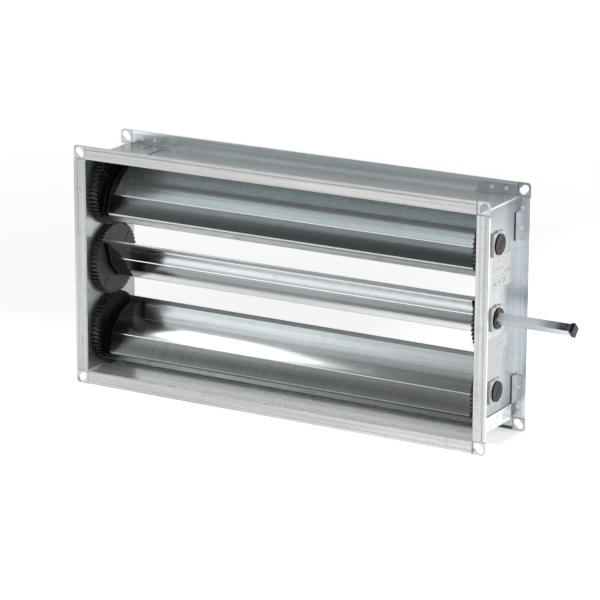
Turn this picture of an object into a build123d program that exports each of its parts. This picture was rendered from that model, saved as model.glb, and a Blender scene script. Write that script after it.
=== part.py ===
from build123d import *
import math
import os

# Multi-blade shut-off damper for a rectangular air duct: a flanged frame of four steel channels,
# hollow blades that turn in it through meshed gears, and a square shaft for the actuator.
# Millimetres. The origin is the middle of the frame, on the axis of the middle blade.
# +X runs along the blades towards the drive shaft, +Y along the air path, +Z up.

# Duct and frame
duct_width = 600.0
blade_pitch = 100.0
blade_count = 3
frame_depth = 122.0
frame_sheet = 1.0
flange_height = 19.0
hem_width = 5.0
hem_setback = 0.5
bend_radius = 1.6
flange_corner_radius = 3.0

# Laps that join the channels at their ends
side_lap_height = 20.0
top_lap_length = 60.0
lap_gap = 1.0
lap_slot_length = 22.0
lap_slot_width = 3.0
lap_slot_place = 38.0
lap_slot_margin = 1.0

# Corner angles
corner_sheet = 1.5
corner_leg_length = 59.0
corner_gap = 0.2
corner_radius = 4.5
corner_slot_length = 15.0
corner_slot_width = 10.0
web_leg_depth = 9.0
web_leg_start = 20.0
top_clinch_places = (16.5, 37.5)
side_clinch_places = (15.0, 42.0)
clinch_radius = 2.7
clinch_bowl_radius = 1.6
clinch_height = 0.8
clinch_bowl_depth = 0.6

# Bearings
journal_radius = 14.05
running_gap = 0.05
bush_wall = 1.4
bush_hole_gap = 0.05
bush_plate_border = 1.9
bush_plate_thickness = 3.0
bush_plate_radius = 3.0
bush_lug_width = 6.0
bush_lug_height = 1.5
journal_projection = 2.5

# Blades
rest_tilt = 45.0
blade_lap = 1.2
blade_sheet = 0.8
blade_half_thickness = 8.0
crease_place = 14.0
crease_step = 0.8
edge_facet_height = 3.0
edge_facet_inset = 1.5
lip_width = 7.1
lip_offset = 1.5
fold_gap = 0.05
fold_setback = 1.0
lip_end_gap = 0.3

# Gears on the blade ends
gear_teeth = 50
tooth_addendum = 1.2
tooth_depth = 3.6
tooth_backlash = 0.3
pressure_angle = 20.0
rim_chamfer = 0.8
rim_gap = 0.3
gear_wall_gap = 0.3
gear_thickness = 9.7
index_slot_width = 2.0
index_slot_depth = 1.0
index_slot_length = 15.0
index_slot_margin = 1.6

# Shoe and plug that carry the blade on its gear
shoe_depth = 8.0
shoe_half_thickness = 19.0
shoe_edge_half_thickness = 4.5
shoe_lip_gap = 1.0
shoe_corner_radius = 2.0
plug_length = 32.0
plug_gap = 0.2
plug_margin = 7.5
hub_half_width = 12.0
mark_groove_width = 1.6
mark_groove_depth = 0.8
mark_groove_margin = 4.0

# Drive shaft and its cap
shaft_size = 12.0
shaft_gap = 0.05
shaft_chamfer = 0.5
shaft_reach = 113.5
shaft_setback = 2.0
cap_wall = 1.2
cap_overlap = 3.5
cap_end_thickness = 2.0

# Stop strips that the closed blades meet
stop_height = 8.0
stop_foot = 9.0
stop_gap = 0.3
stop_end_gap = 1.0

# Labels on the drive side, stacked from the upper bush plate down: front edge, back edge, height
label_thickness = 0.2
label_clearance = 2.0
label_spacing = 4.0
upper_label = (-11.0, 40.0, 21.0)
middle_label = (-11.0, 40.0, 18.5)
lower_label = (-24.0, 36.0, 19.0)
strip_label = (-24.0, 17.0)
lower_label_drop = 10.0
strip_label_gap = 1.0
strip_label_clearance = 0.5

# Sizes that follow from the ones above
half_width = duct_width / 2
half_height = blade_count * blade_pitch / 2 + tooth_addendum + rim_gap
half_depth = frame_depth / 2
flange_back = half_depth - frame_sheet
web_leg_face = flange_back - web_leg_depth
lap_half_depth = web_leg_face - lap_gap
hem_start = flange_height - hem_width
pitch_radius = blade_pitch / 2
tip_radius = pitch_radius + tooth_addendum
root_radius = tip_radius - tooth_depth
tooth_phase = 0.0 if gear_teeth % 2 else 0.25
bore_radius = journal_radius + running_gap
bush_radius = bore_radius + bush_wall
bush_plate_half = bore_radius + bush_plate_border
gear_outer_face = half_width - gear_wall_gap
gear_inner_face = gear_outer_face - gear_thickness
half_body = gear_inner_face - shoe_depth
blade_tip_radius = (blade_pitch + blade_lap) / 2
lip_start = blade_tip_radius - lip_width
plug_half_width = lip_start - plug_margin
fold_half_stack = 1.5 * blade_sheet + fold_gap
journal_end = half_width + frame_sheet + bush_plate_thickness + journal_projection
shaft_end = half_width + shaft_reach
shaft_hole = shaft_size + 2 * shaft_gap
drive_blade = (blade_count - 1) // 2
blade_heights = [(number - (blade_count - 1) / 2) * blade_pitch for number in range(blade_count)]

# A blade's lean is the turn of its chord from the air path. At 90 degrees it is shut, and its
# neighbours turn the opposite way, so they lean the opposite way at rest.
blade_leans = [
    90 + rest_tilt if (number - drive_blade) % 2 == 0 else 90 - rest_tilt
    for number in range(blade_count)
]

os.makedirs("parts", exist_ok=True)


def save(part, name):
    """Labels a finished piece and writes it under its own name."""
    part.label = name
    export_step(part, f"parts/{name}.step")


def place_word(number):
    """The word that names a blade by its place above or below the driven one."""
    steps = number - drive_blade
    if steps == 0:
        return "middle"
    rank = str(abs(steps)) if abs(steps) > 1 else ""
    return ("upper" if steps > 0 else "lower") + rank


def block(low, high, mode=Mode.ADD):
    """Adds or cuts the box between two opposite corners in the current part."""
    centre = tuple((a + b) / 2 for a, b in zip(low, high))
    with Locations(centre):
        Box(*(abs(b - a) for a, b in zip(low, high)), mode=mode)


def cross_plane(x, height=0.0, lean=0.0):
    """Plane across the blade axis at x, with its own x along a chord that leans by lean degrees."""
    turn = math.radians(lean)
    return Plane(origin=(x, 0, height), x_dir=(0, math.cos(turn), math.sin(turn)), z_dir=(1, 0, 0))


def sheet_outline(path, thickness):
    """Closed outline of a folded sheet whose outer face follows path, with its body to the left."""
    normals = []
    for (x0, y0), (x1, y1) in zip(path, path[1:]):
        run = math.hypot(x1 - x0, y1 - y0)
        normals.append(((y0 - y1) / run, (x1 - x0) / run))
    inner = []
    for place, (x, y) in enumerate(path):
        before = normals[max(place - 1, 0)]
        after = normals[min(place, len(normals) - 1)]
        share = thickness / (1 + before[0] * after[0] + before[1] * after[1])
        inner.append((x + share * (before[0] + after[0]), y + share * (before[1] + after[1])))
    return list(path) + inner[::-1]


# Frame channels. Each is a web beside the duct and two flanges that stand away from it. The outer
# edge of a flange is folded back on itself and stands a little behind the sealing face.
def channel_points():
    """Outline of half a channel section: x along the depth, y away from the duct."""
    hem_front = half_depth - hem_setback
    hem_back = hem_front - 2 * frame_sheet
    return [
        (0, 0), (half_depth, 0), (half_depth, hem_start), (hem_front, hem_start),
        (hem_front, flange_height), (hem_back, flange_height), (hem_back, hem_start),
        (flange_back, hem_start), (flange_back, frame_sheet), (0, frame_sheet),
    ]


def frame_channel(outward, face, half_length, clinch_places):
    """A channel with its duct face at face along the outward axis, clinched near both ends."""
    along = Vector(0, 1, 0).cross(Vector(*outward))
    base = Vector(*outward) * face
    bowl_height = (frame_sheet + corner_sheet + hem_start) / 2
    with BuildPart() as channel:
        with BuildSketch(Plane(origin=base, x_dir=(0, 1, 0), z_dir=along)) as section:
            with BuildLine():
                Polyline(*channel_points(), close=True)
            make_face()
            duct_edge = section.vertices().group_by(Axis.Y)[0].sort_by(Axis.X)[-1]
            fillet(duct_edge, bend_radius)
            mirror(about=Plane.YZ)
        extrude(amount=half_length, both=True)
        # Bowls that the clinch tool leaves on the sealing faces, over the corner angles
        for side in (-1, 1):
            face_origin = base + Vector(0, side * half_depth, 0)
            with BuildSketch(Plane(origin=face_origin, x_dir=along, z_dir=(0, side, 0))):
                for end in (-1, 1):
                    for place in clinch_places:
                        with Locations((end * (half_length - place), -side * bowl_height)):
                            Circle(clinch_bowl_radius)
            extrude(amount=-clinch_bowl_depth, mode=Mode.SUBTRACT)
    return channel.part


for name, end in (("frame_top_channel", 1), ("frame_bottom_channel", -1)):
    # The web runs over the drive-side channel and folds down on its outer face.
    web_high = end * (half_height + frame_sheet)
    lap_face = half_width + frame_sheet
    with BuildPart() as channel:
        add(frame_channel((0, 0, end), half_height, half_width, top_clinch_places))
        block(
            (half_width, -lap_half_depth, end * half_height),
            (lap_face + frame_sheet, lap_half_depth, web_high),
        )
        block(
            (lap_face, -lap_half_depth, end * (half_height - side_lap_height)),
            (lap_face + frame_sheet, lap_half_depth, web_high),
        )
    save(channel.part, name)


for name, side in (("frame_left_channel", -1), ("frame_right_channel", 1)):
    with BuildPart() as channel:
        add(frame_channel((side, 0, 0), half_width, half_height, side_clinch_places))
        rim_corners = channel.edges().filter_by(Axis.Y).group_by(SortBy.DISTANCE)[-1]
        fillet(rim_corners, flange_corner_radius)
        with BuildSketch(cross_plane(side * half_width)):
            for height in blade_heights:
                with Locations((0, height)):
                    Circle(bush_radius + bush_hole_gap)
        extrude(amount=side * frame_sheet, mode=Mode.SUBTRACT)
        if side < 0:
            # This web runs past the top and bottom channels and folds over their webs.
            outer = -half_width - frame_sheet
            slot_x = lap_slot_place - half_width
            slot_middle = lap_half_depth - lap_slot_margin - lap_slot_length / 2
            for end in (-1, 1):
                lap_low = end * (half_height + frame_sheet)
                lap_high = end * (half_height + 2 * frame_sheet)
                block(
                    (outer, -lap_half_depth, end * half_height),
                    (-half_width, lap_half_depth, lap_high),
                )
                block(
                    (outer, -lap_half_depth, lap_low),
                    (top_lap_length - half_width, lap_half_depth, lap_high),
                )
                for slot_y in (-slot_middle, slot_middle):
                    block(
                        (slot_x - lap_slot_width / 2, slot_y - lap_slot_length / 2, lap_low),
                        (slot_x + lap_slot_width / 2, slot_y + lap_slot_length / 2, lap_high),
                        mode=Mode.SUBTRACT,
                    )
    save(channel.part, name)


# Corner angles. Each has a slotted corner square between the flange ends, a leg behind each flange
# and a narrow leg along each web.
def corner_angle(side, face, end):
    """Corner angle at the drive or far side, at the front or back face, at the top or bottom."""
    inward = side * face * end
    plane = Plane(
        origin=(side * half_width, face * flange_back, end * half_height),
        x_dir=(side, 0, 0),
        z_dir=(0, -side * end, 0),
    )
    leg_high = hem_start - corner_gap
    leg_middle = (frame_sheet + corner_sheet + hem_start) / 2
    square_middle = (corner_gap + flange_height) / 2
    web_leg_top = frame_sheet + corner_sheet
    button_places = [(-place, leg_middle) for place in top_clinch_places]
    button_places += [(leg_middle, -place) for place in side_clinch_places]
    with BuildPart() as angle:
        with BuildSketch(plane) as outline:
            with BuildLine():
                Polyline(
                    (-corner_leg_length, frame_sheet), (corner_gap, frame_sheet),
                    (corner_gap, corner_gap), (frame_sheet, corner_gap),
                    (frame_sheet, -corner_leg_length), (leg_high, -corner_leg_length),
                    (leg_high, corner_gap), (flange_height, corner_gap),
                    (flange_height, flange_height), (corner_gap, flange_height),
                    (corner_gap, leg_high), (-corner_leg_length, leg_high),
                    close=True,
                )
            make_face()
            fillet(outline.vertices().sort_by(Axis((0, 0, 0), (1, 1, 0)))[-1], corner_radius)
            with Locations(Location((square_middle, square_middle, 0), (0, 0, 45))):
                SlotOverall(corner_slot_length, corner_slot_width, mode=Mode.SUBTRACT)
        extrude(amount=inward * corner_sheet)
        with BuildSketch(plane.offset(inward * corner_sheet)):
            with Locations(*button_places):
                Circle(clinch_radius)
        extrude(amount=inward * clinch_height)
        with BuildSketch(plane.offset(inward * (corner_sheet + clinch_height))):
            with Locations(*button_places):
                Circle(clinch_bowl_radius)
        extrude(amount=-inward * clinch_bowl_depth, mode=Mode.SUBTRACT)
        block(
            (side * (half_width - corner_leg_length), face * web_leg_face,
             end * (half_height + frame_sheet)),
            (side * (half_width - web_leg_start), face * flange_back,
             end * (half_height + web_leg_top)),
        )
        block(
            (side * (half_width + frame_sheet), face * web_leg_face,
             end * (half_height - corner_leg_length)),
            (side * (half_width + web_leg_top), face * flange_back,
             end * (half_height - web_leg_start)),
        )
    return angle.part


for side, side_word in ((-1, "left"), (1, "right")):
    for face, face_word in ((-1, "front"), (1, "back")):
        for end, end_word in ((-1, "bottom"), (1, "top")):
            save(corner_angle(side, face, end), f"corner_angle_{face_word}_{end_word}_{side_word}")


# Bearing bushes. A sleeve fills the hole in the side web, and a square plate lies on its outside.
def bearing_bush(side, height):
    """Bush of one blade end, open to the journal."""
    wall_face = cross_plane(side * (half_width + frame_sheet), height)
    with BuildPart() as bush:
        with BuildSketch(wall_face):
            RectangleRounded(2 * bush_plate_half, 2 * bush_plate_half, bush_plate_radius)
            with Locations((0, bush_plate_half)):
                Rectangle(bush_lug_width, 2 * bush_lug_height)
            Circle(bore_radius, mode=Mode.SUBTRACT)
        extrude(amount=side * bush_plate_thickness)
        with BuildSketch(wall_face):
            Circle(bush_radius)
            Circle(bore_radius, mode=Mode.SUBTRACT)
        extrude(amount=-side * frame_sheet)
    return bush.part


# Gear ends. Each is one moulding: the journal in the bush, the toothed wheel beside the side web,
# a shoe that the blade's end stands against, and a plug inside the hollow blade.
def involute(angle):
    """Involute function of a pressure angle."""
    return math.tan(angle) - angle


def gear_points():
    """Outline of the wheel, with its teeth so placed that like wheels mesh one above the other."""
    base_radius = pitch_radius * math.cos(math.radians(pressure_angle))
    tooth_pitch = 2 * math.pi / gear_teeth
    half_tooth = tooth_pitch / 4 - tooth_backlash / (2 * pitch_radius)
    points = []
    for tooth in range(gear_teeth):
        middle = (tooth + tooth_phase) * tooth_pitch
        flank = []
        for radius in (root_radius, pitch_radius, tip_radius):
            slope = math.acos(min(1.0, base_radius / radius))
            half = half_tooth + involute(math.radians(pressure_angle)) - involute(slope)
            flank.append((radius, half))
        for radius, half in flank:
            points.append((radius * math.cos(middle - half), radius * math.sin(middle - half)))
        for radius, half in reversed(flank):
            points.append((radius * math.cos(middle + half), radius * math.sin(middle + half)))
    return points


def both_sides(quarter):
    """Closed outline from the points of its first quarter, mirrored about both axes."""
    upper = quarter + [(-x, y) for x, y in reversed(quarter)]
    return upper + [(-x, -y) for x, y in upper]


def gear_end(side, height, lean, driven):
    """Gear end of one blade, with a through hole for the shaft where it is driven."""
    skin_inside = blade_half_thickness - blade_sheet - plug_gap
    facet_drop = (blade_half_thickness - crease_step - edge_facet_height) / (
        lip_start - edge_facet_inset - crease_place - crease_step
    )
    plug_shoulder = skin_inside - crease_step
    plug_edge = plug_shoulder - facet_drop * (plug_half_width - crease_place)
    plug_start = half_body - plug_length
    index_slot_middle = root_radius - index_slot_margin - index_slot_length / 2
    with BuildPart() as gear:
        # A disc with a relieved rim, cut down to the teeth
        with BuildSketch(cross_plane(side * gear_inner_face, height, lean)):
            Circle(tip_radius + rim_chamfer)
        extrude(amount=side * gear_thickness)
        chamfer(gear.edges().filter_by(GeomType.CIRCLE), 2 * rim_chamfer)
        with BuildSketch(cross_plane(side * gear_inner_face, height, lean)):
            with BuildLine():
                Polyline(*gear_points(), close=True)
            make_face()
        extrude(amount=side * gear_thickness, mode=Mode.INTERSECT)
        with BuildSketch(cross_plane(side * gear_inner_face, height, lean)):
            for way in (-1, 1):
                with Locations((0, way * index_slot_middle)):
                    Rectangle(index_slot_width, index_slot_length)
        extrude(amount=side * index_slot_depth, mode=Mode.SUBTRACT)
        with BuildSketch(cross_plane(side * gear_outer_face, height, lean)):
            Circle(journal_radius)
        extrude(amount=side * (journal_end - gear_outer_face))
        with BuildSketch(cross_plane(side * half_body, height, lean)) as shoe:
            with BuildLine():
                Polyline(
                    *both_sides([
                        (lip_start - shoe_lip_gap, shoe_edge_half_thickness),
                        (crease_place, shoe_half_thickness),
                    ]),
                    close=True,
                )
            make_face()
            fillet(shoe.vertices(), shoe_corner_radius)
        extrude(amount=side * (gear_inner_face - half_body))
        with BuildSketch(cross_plane(side * plug_start, height, lean)):
            with BuildLine():
                Polyline(
                    *both_sides([(plug_half_width, plug_edge), (crease_place, plug_shoulder)]),
                    close=True,
                )
            make_face()
            Rectangle(2 * hub_half_width, 2 * skin_inside)
        extrude(amount=side * plug_length)
        with BuildSketch(cross_plane(side * journal_end, height, lean)):
            if driven:
                Rectangle(shaft_hole, shaft_hole)
            else:
                Rectangle(2 * (journal_radius - mark_groove_margin), mark_groove_width)
        depth = journal_end - plug_start if driven else mark_groove_depth
        extrude(amount=-side * depth, mode=Mode.SUBTRACT)
    return gear.part


# Blade skins. Two alike, turned half round from each other, make a blade. Each folds over the
# other's plain lip at one edge, and the lips at the two edges stand off the chord to opposite
# sides, so that the lips of neighbouring blades lap when the damper shuts.
def skin_path():
    """Outer face of a skin, from the folded edge over the raised middle to the plain lip."""
    fold_low = lip_offset - fold_half_stack
    fold_high = lip_offset + fold_half_stack
    shoulder = blade_half_thickness - crease_step
    plain_lip = blade_sheet / 2 - lip_offset
    return [
        (lip_start + fold_setback, fold_low),
        (blade_tip_radius, fold_low),
        (blade_tip_radius, fold_high),
        (lip_start, fold_high),
        (crease_place + crease_step, shoulder),
        (crease_place, blade_half_thickness),
        (-crease_place, blade_half_thickness),
        (-crease_place - crease_step, shoulder),
        (edge_facet_inset - lip_start, edge_facet_height),
        (-lip_start, plain_lip),
        (blade_sheet + fold_gap - blade_tip_radius, plain_lip),
    ]


def blade_skin(height, lean):
    """One skin of a blade: its lips run on past the shoes, nearly to the gears."""
    lip_half_length = gear_inner_face - lip_end_gap
    with BuildPart() as skin:
        with BuildSketch(cross_plane(0, height, lean)):
            with BuildLine():
                Polyline(*sheet_outline(skin_path(), blade_sheet), close=True)
            make_face()
        extrude(amount=lip_half_length, both=True)
        for side in (-1, 1):
            with BuildSketch(cross_plane(side * half_body, height, lean)):
                Rectangle(2 * lip_start, 4 * blade_half_thickness)
            extrude(amount=side * (lip_half_length - half_body), mode=Mode.SUBTRACT)
    return skin.part


for number, height in enumerate(blade_heights):
    word = place_word(number)
    lean = blade_leans[number]
    for side, side_word in ((-1, "left"), (1, "right")):
        driven = side > 0 and number == drive_blade
        save(bearing_bush(side, height), f"bearing_bush_{word}_{side_word}")
        save(gear_end(side, height, lean, driven), f"gear_end_{word}_{side_word}")
    save(blade_skin(height, lean), f"blade_{word}_front_skin")
    save(blade_skin(height, lean + 180), f"blade_{word}_back_skin")


# Drive shaft and its end cap
shaft_start = half_body - plug_length + shaft_setback
drive_height = blade_heights[drive_blade]
drive_lean = blade_leans[drive_blade]

with BuildPart() as drive_shaft:
    with BuildSketch(cross_plane(shaft_start, drive_height, drive_lean)):
        Rectangle(shaft_size, shaft_size)
    extrude(amount=shaft_end - shaft_start)
    chamfer(drive_shaft.edges().filter_by(Axis.X), shaft_chamfer)
save(drive_shaft.part, "drive_shaft")

with BuildPart() as shaft_cap:
    with BuildSketch(cross_plane(shaft_end - cap_overlap, drive_height, drive_lean)):
        RectangleRounded(shaft_hole + 2 * cap_wall, shaft_hole + 2 * cap_wall, cap_wall)
    extrude(amount=cap_overlap + cap_end_thickness)
    with BuildSketch(cross_plane(shaft_end - cap_overlap, drive_height, drive_lean)):
        Rectangle(shaft_hole, shaft_hole)
    extrude(amount=cap_overlap, mode=Mode.SUBTRACT)
save(shaft_cap.part, "shaft_end_cap")


# Stop strips. Each is a small angle on the top or bottom web, on the side that the shut blade's
# lip comes to rest against.
for name, end, lean in (
    ("stop_strip_top", 1, blade_leans[-1]),
    ("stop_strip_bottom", -1, blade_leans[0]),
):
    side = -end if lean < 90 else end
    face = side * (fold_half_stack + stop_gap) - end * lip_offset
    strip_half_length = half_body - stop_end_gap
    web = end * half_height
    with BuildPart() as strip:
        block(
            (-strip_half_length, face, end * (half_height - stop_height)),
            (strip_half_length, face + side * frame_sheet, web),
        )
        block(
            (-strip_half_length, face + side * frame_sheet, end * (half_height - frame_sheet)),
            (strip_half_length, face + side * (frame_sheet + stop_foot), web),
        )
    save(strip.part, name)


# Labels, each below the last, and clear of the bush plates
upper_top = drive_height + blade_pitch - bush_plate_half - label_clearance
middle_top = upper_top - upper_label[2] - label_spacing
lower_top = drive_height - bush_plate_half - lower_label_drop
strip_top = lower_top - lower_label[2] - strip_label_gap
strip_bottom = drive_height - blade_pitch + bush_plate_half + bush_lug_height + strip_label_clearance
label_wall = half_width + frame_sheet
for name, (front, back), top, bottom in (
    ("label_upper", upper_label[:2], upper_top, upper_top - upper_label[2]),
    ("label_middle", middle_label[:2], middle_top, middle_top - middle_label[2]),
    ("label_lower", lower_label[:2], lower_top, lower_top - lower_label[2]),
    ("label_strip", strip_label, strip_top, strip_bottom),
):
    with BuildPart() as label:
        block((label_wall, front, bottom), (label_wall + label_thickness, back, top))
    save(label.part, name)
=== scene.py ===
"""The looks of a gear-linked duct damper: galvanised frame and blades, black gears, square zinc shaft.

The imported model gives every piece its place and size. Each sub-assembly below refines the meshes of its
own pieces, gives them their finish and puts them back on the body that they move with.
"""

import logging
import math
from collections.abc import Callable
from dataclasses import dataclass, replace
from enum import Enum
from functools import cache, reduce

import bpy
from mathutils import Matrix, Vector


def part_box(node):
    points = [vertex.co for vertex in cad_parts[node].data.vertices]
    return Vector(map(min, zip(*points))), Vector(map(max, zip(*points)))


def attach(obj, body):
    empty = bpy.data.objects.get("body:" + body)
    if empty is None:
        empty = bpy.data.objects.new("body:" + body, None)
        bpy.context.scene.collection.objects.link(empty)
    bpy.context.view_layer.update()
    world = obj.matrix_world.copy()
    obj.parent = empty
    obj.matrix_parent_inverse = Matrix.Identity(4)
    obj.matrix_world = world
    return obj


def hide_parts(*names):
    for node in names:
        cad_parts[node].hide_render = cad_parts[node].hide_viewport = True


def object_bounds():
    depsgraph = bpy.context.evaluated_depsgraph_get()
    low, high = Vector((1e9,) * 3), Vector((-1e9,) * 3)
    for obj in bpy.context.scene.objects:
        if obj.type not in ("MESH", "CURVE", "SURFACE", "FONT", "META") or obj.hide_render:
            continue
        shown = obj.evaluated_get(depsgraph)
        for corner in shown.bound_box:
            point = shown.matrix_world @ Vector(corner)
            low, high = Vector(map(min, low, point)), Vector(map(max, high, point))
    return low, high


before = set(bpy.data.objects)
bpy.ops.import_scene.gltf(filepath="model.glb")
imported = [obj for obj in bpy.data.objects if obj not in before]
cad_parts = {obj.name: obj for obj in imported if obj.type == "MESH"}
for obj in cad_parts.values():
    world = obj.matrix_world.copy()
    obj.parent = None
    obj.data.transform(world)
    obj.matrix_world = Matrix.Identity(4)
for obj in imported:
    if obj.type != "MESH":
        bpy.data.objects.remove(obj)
CAD_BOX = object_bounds()

MM = 0.001
# How near two places have to be, and how much of a normal counts as looking one way.
HAIR = 0.1 * MM
EXACT = 0.01 * MM
FACING = 0.9
SIDEWAYS = 0.3
FLAT_ANGLE = 0.5
SMOOTH_ANGLE = 35.0
PHOTO_SIDE = 600
SENSOR_WIDTH = 36.0
log = logging.getLogger("damper")

Colour = tuple[float, float, float]
Point = tuple[float, float, float]
Stretch = tuple[float, float]
Socket = bpy.types.NodeSocket
Value = float | Socket
Tree = bpy.types.NodeTree
Piece = bpy.types.Object
Facet = tuple[Vector, Vector, Vector]
Words = tuple[str, ...]
ACROSS: Point = (1.0, 0.0, 0.0)
DEEP: Point = (0.0, 1.0, 0.0)
UP: Point = (0.0, 0.0, 1.0)
# Pale colour of the painted highlight lines along some folds.
PAINTED_HIGHLIGHT: Colour = (0.95, 0.96, 0.97)
WHITE = (1.0, 1.0, 1.0, 1.0)


class Slot(Enum):
    """Names of material slots."""

    FRAME = "frame_steel"
    CORNER = "corner_steel"
    STRIP = "strip_steel"
    BLADE = "blade_steel"
    SHAFT = "shaft_steel"
    GEAR = "gear_plastic"
    BUSH = "bush_plastic"
    CAP = "cap_plastic"
    LABEL = "label_foil"


class Body(Enum):
    """Bodies that the pieces move with."""

    FRAME = "frame"
    UPPER = "blade_upper"
    MIDDLE = "blade_middle"
    LOWER = "blade_lower"


class Grain(Enum):
    """How far a sheet's rolling grain is stretched along X, Y and Z."""

    ALONG = (4.0, 320.0, 320.0)
    UPRIGHT = (320.0, 320.0, 4.0)


class Graph:
    """A node tree with short ways to add nodes and links."""

    def __init__(self, tree: Tree) -> None:
        """Empties the tree."""
        self.tree = tree
        tree.nodes.clear()

    def node(self, kind: str, inputs: dict | None = None, **settings: object) -> bpy.types.Node:
        """Adds a node.

        Args:
            kind: the node's type without its ShaderNode prefix, or a full type name.
            inputs: socket name or number to a value, or to the output socket that feeds it.
            settings: properties of the node.

        Returns:
            The new node.
        """
        full = kind if kind.startswith("Node") else f"ShaderNode{kind}"
        made = self.tree.nodes.new(full)
        for name, value in settings.items():
            setattr(made, name, value)
        for name, value in (inputs or {}).items():
            if isinstance(value, Socket):
                self.tree.links.new(value, made.inputs[name])
            else:
                made.inputs[name].default_value = value
        return made

    def effect(self, group: Callable, inputs: dict) -> bpy.types.bpy_prop_collection:
        """Places a shared node group and returns its outputs."""
        return self.node("Group", inputs, node_tree=group()).outputs

    def math(self, operation: str, *values: Value) -> Socket:
        """The output of a Math node on these values or sockets."""
        return self.node("Math", dict(enumerate(values)), operation=operation).outputs[0]

    def total(self, *terms: Value) -> Socket:
        """The sum of these values or sockets."""
        return reduce(lambda a, b: self.math("ADD", a, b), terms)

    def product(self, *factors: Value) -> Socket:
        """These values or sockets multiplied."""
        return reduce(lambda a, b: self.math("MULTIPLY", a, b), factors)

    def vector(self, operation: str, *values: Point | Socket, output: str = "Vector") -> Socket:
        """An output of a Vector Math node on these values or sockets."""
        return self.node("VectorMath", dict(enumerate(values)), operation=operation).outputs[output]

    def swing(self, value: Socket, amount: Value) -> Socket:
        """A 0 to 1 value turned into a swing of plus or minus half the amount."""
        return self.product(self.math("SUBTRACT", value, 0.5), amount)

    def noise(self, vector: Socket, scale: float, detail: float, roughness: float = 0.5) -> Socket:
        """The value of a Noise Texture node."""
        inputs = {"Vector": vector, "Scale": scale, "Detail": detail, "Roughness": roughness}
        return self.node("TexNoise", inputs).outputs["Fac"]

    def span(self, value: Socket, start: Value, stop: Value, top: float = 1.0, least: float = 0.0) -> Socket:
        """A value's way from start to stop, as a value that goes from least to top."""
        inputs = {"Value": value, "From Min": start, "From Max": stop, "To Min": least, "To Max": top}
        return self.node("MapRange", inputs).outputs[0]

    def mix(self, share: Value, first: object, second: object, blend: str = "MIX") -> Socket:
        """Two colours mixed by a share."""
        inputs = {0: share, 6: first, 7: second}
        return self.node("Mix", inputs, data_type="RGBA", blend_type=blend).outputs[2]

    def tinted(self, colour: Colour, tone: Socket) -> Socket:
        """A colour multiplied by a grey tone."""
        return self.mix(1.0, (*colour, 1.0), tone, "MULTIPLY")

    def ramp(self, value: Socket, stops: tuple[Stretch, ...]) -> Socket:
        """Adds a grey ramp.

        Args:
            value: the value that runs along the ramp.
            stops: each stop's position and grey value.

        Returns:
            The colour output.
        """
        made = self.node("ValToRGB", {0: value})
        band = made.color_ramp.elements
        while len(band) < len(stops):
            band.new(0.5)
        for element, (position, grey) in zip(band, stops):
            element.position = position
            element.color = (grey, grey, grey, 1.0)
        return made.outputs[0]


def shader_group(name: str, vectors: Words, values: Words, outputs: Words) -> tuple[Graph, list]:
    """Starts a shared node group, whose outputs are all values.

    Args:
        name: the group's name.
        vectors: the names of its vector inputs.
        values: the names of its value inputs.
        outputs: the names of its outputs.

    Returns:
        The graph, and its input sockets in the order of their names.
    """
    graph = Graph(bpy.data.node_groups.new(name, "ShaderNodeTree"))
    kinds = ((vectors, "INPUT", "Vector"), (values, "INPUT", "Float"), (outputs, "OUTPUT", "Float"))
    for labels, way, kind in kinds:
        for label in labels:
            graph.tree.interface.new_socket(label, in_out=way, socket_type=f"NodeSocket{kind}")
    entry = graph.node("NodeGroupInput")
    return graph, [entry.outputs[label] for label in (*vectors, *values)]


@cache
def zinc_group() -> Tree:
    """Galvanised sheet: soft clouds, zinc crystals and rolling grain.

    Returns:
        The group's node tree.
    """
    graph, (place, grain, clouds, crystals, rolling, streaks) = shader_group(
        "zinc_sheet", ("Vector", "Grain Vector"), ("Clouds", "Crystals", "Grain", "Streaks"),
        ("Tone", "Gloss", "Height"),
    )
    cloud = graph.noise(place, 14.0, 4.0, 0.6)
    shift = graph.vector("MULTIPLY", cloud.node.outputs["Color"], (0.006, 0.006, 0.006))
    warped = graph.vector("ADD", place, shift)
    cells = graph.node("TexVoronoi", {"Vector": warped, "Scale": 160.0, "Randomness": 1.0})
    facets = graph.node("SeparateColor", {0: cells.outputs["Color"]}).outputs
    lines = graph.noise(grain, 1.0, 2.0)
    streak = graph.noise(graph.vector("MULTIPLY", grain, (0.05, 0.2, 0.2)), 1.0, 3.0)
    tone = graph.total(
        1.0,
        graph.swing(cloud, clouds),
        graph.swing(graph.span(streak, 0.3, 0.7), streaks),
        graph.swing(facets["Red"], crystals),
        graph.swing(graph.span(lines, 0.3, 0.7), rolling),
    )
    gloss = graph.total(graph.swing(facets["Green"], 0.6), graph.swing(cloud, 1.2))
    height = graph.total(lines, graph.product(facets["Blue"], 0.02))
    graph.node("NodeGroupOutput", {"Tone": tone, "Gloss": gloss, "Height": height})
    return graph.tree


@cache
def stain_group() -> Tree:
    """Dried run-off: narrow marks that cross a sheet, in patches.

    Returns:
        The group's node tree.
    """
    graph, (place, amount) = shader_group("stain_marks", ("Vector",), ("Amount",), ("Tone",))
    runs = graph.noise(graph.vector("MULTIPLY", place, (420.0, 9.0, 9.0)), 1.0, 2.0)
    cover = graph.span(graph.noise(place, 12.0, 1.0), 0.3, 0.6, least=0.25)
    marks = graph.product(graph.swing(runs, amount), cover)
    graph.node("NodeGroupOutput", {"Tone": graph.total(1.0, marks)})
    return graph.tree


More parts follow.
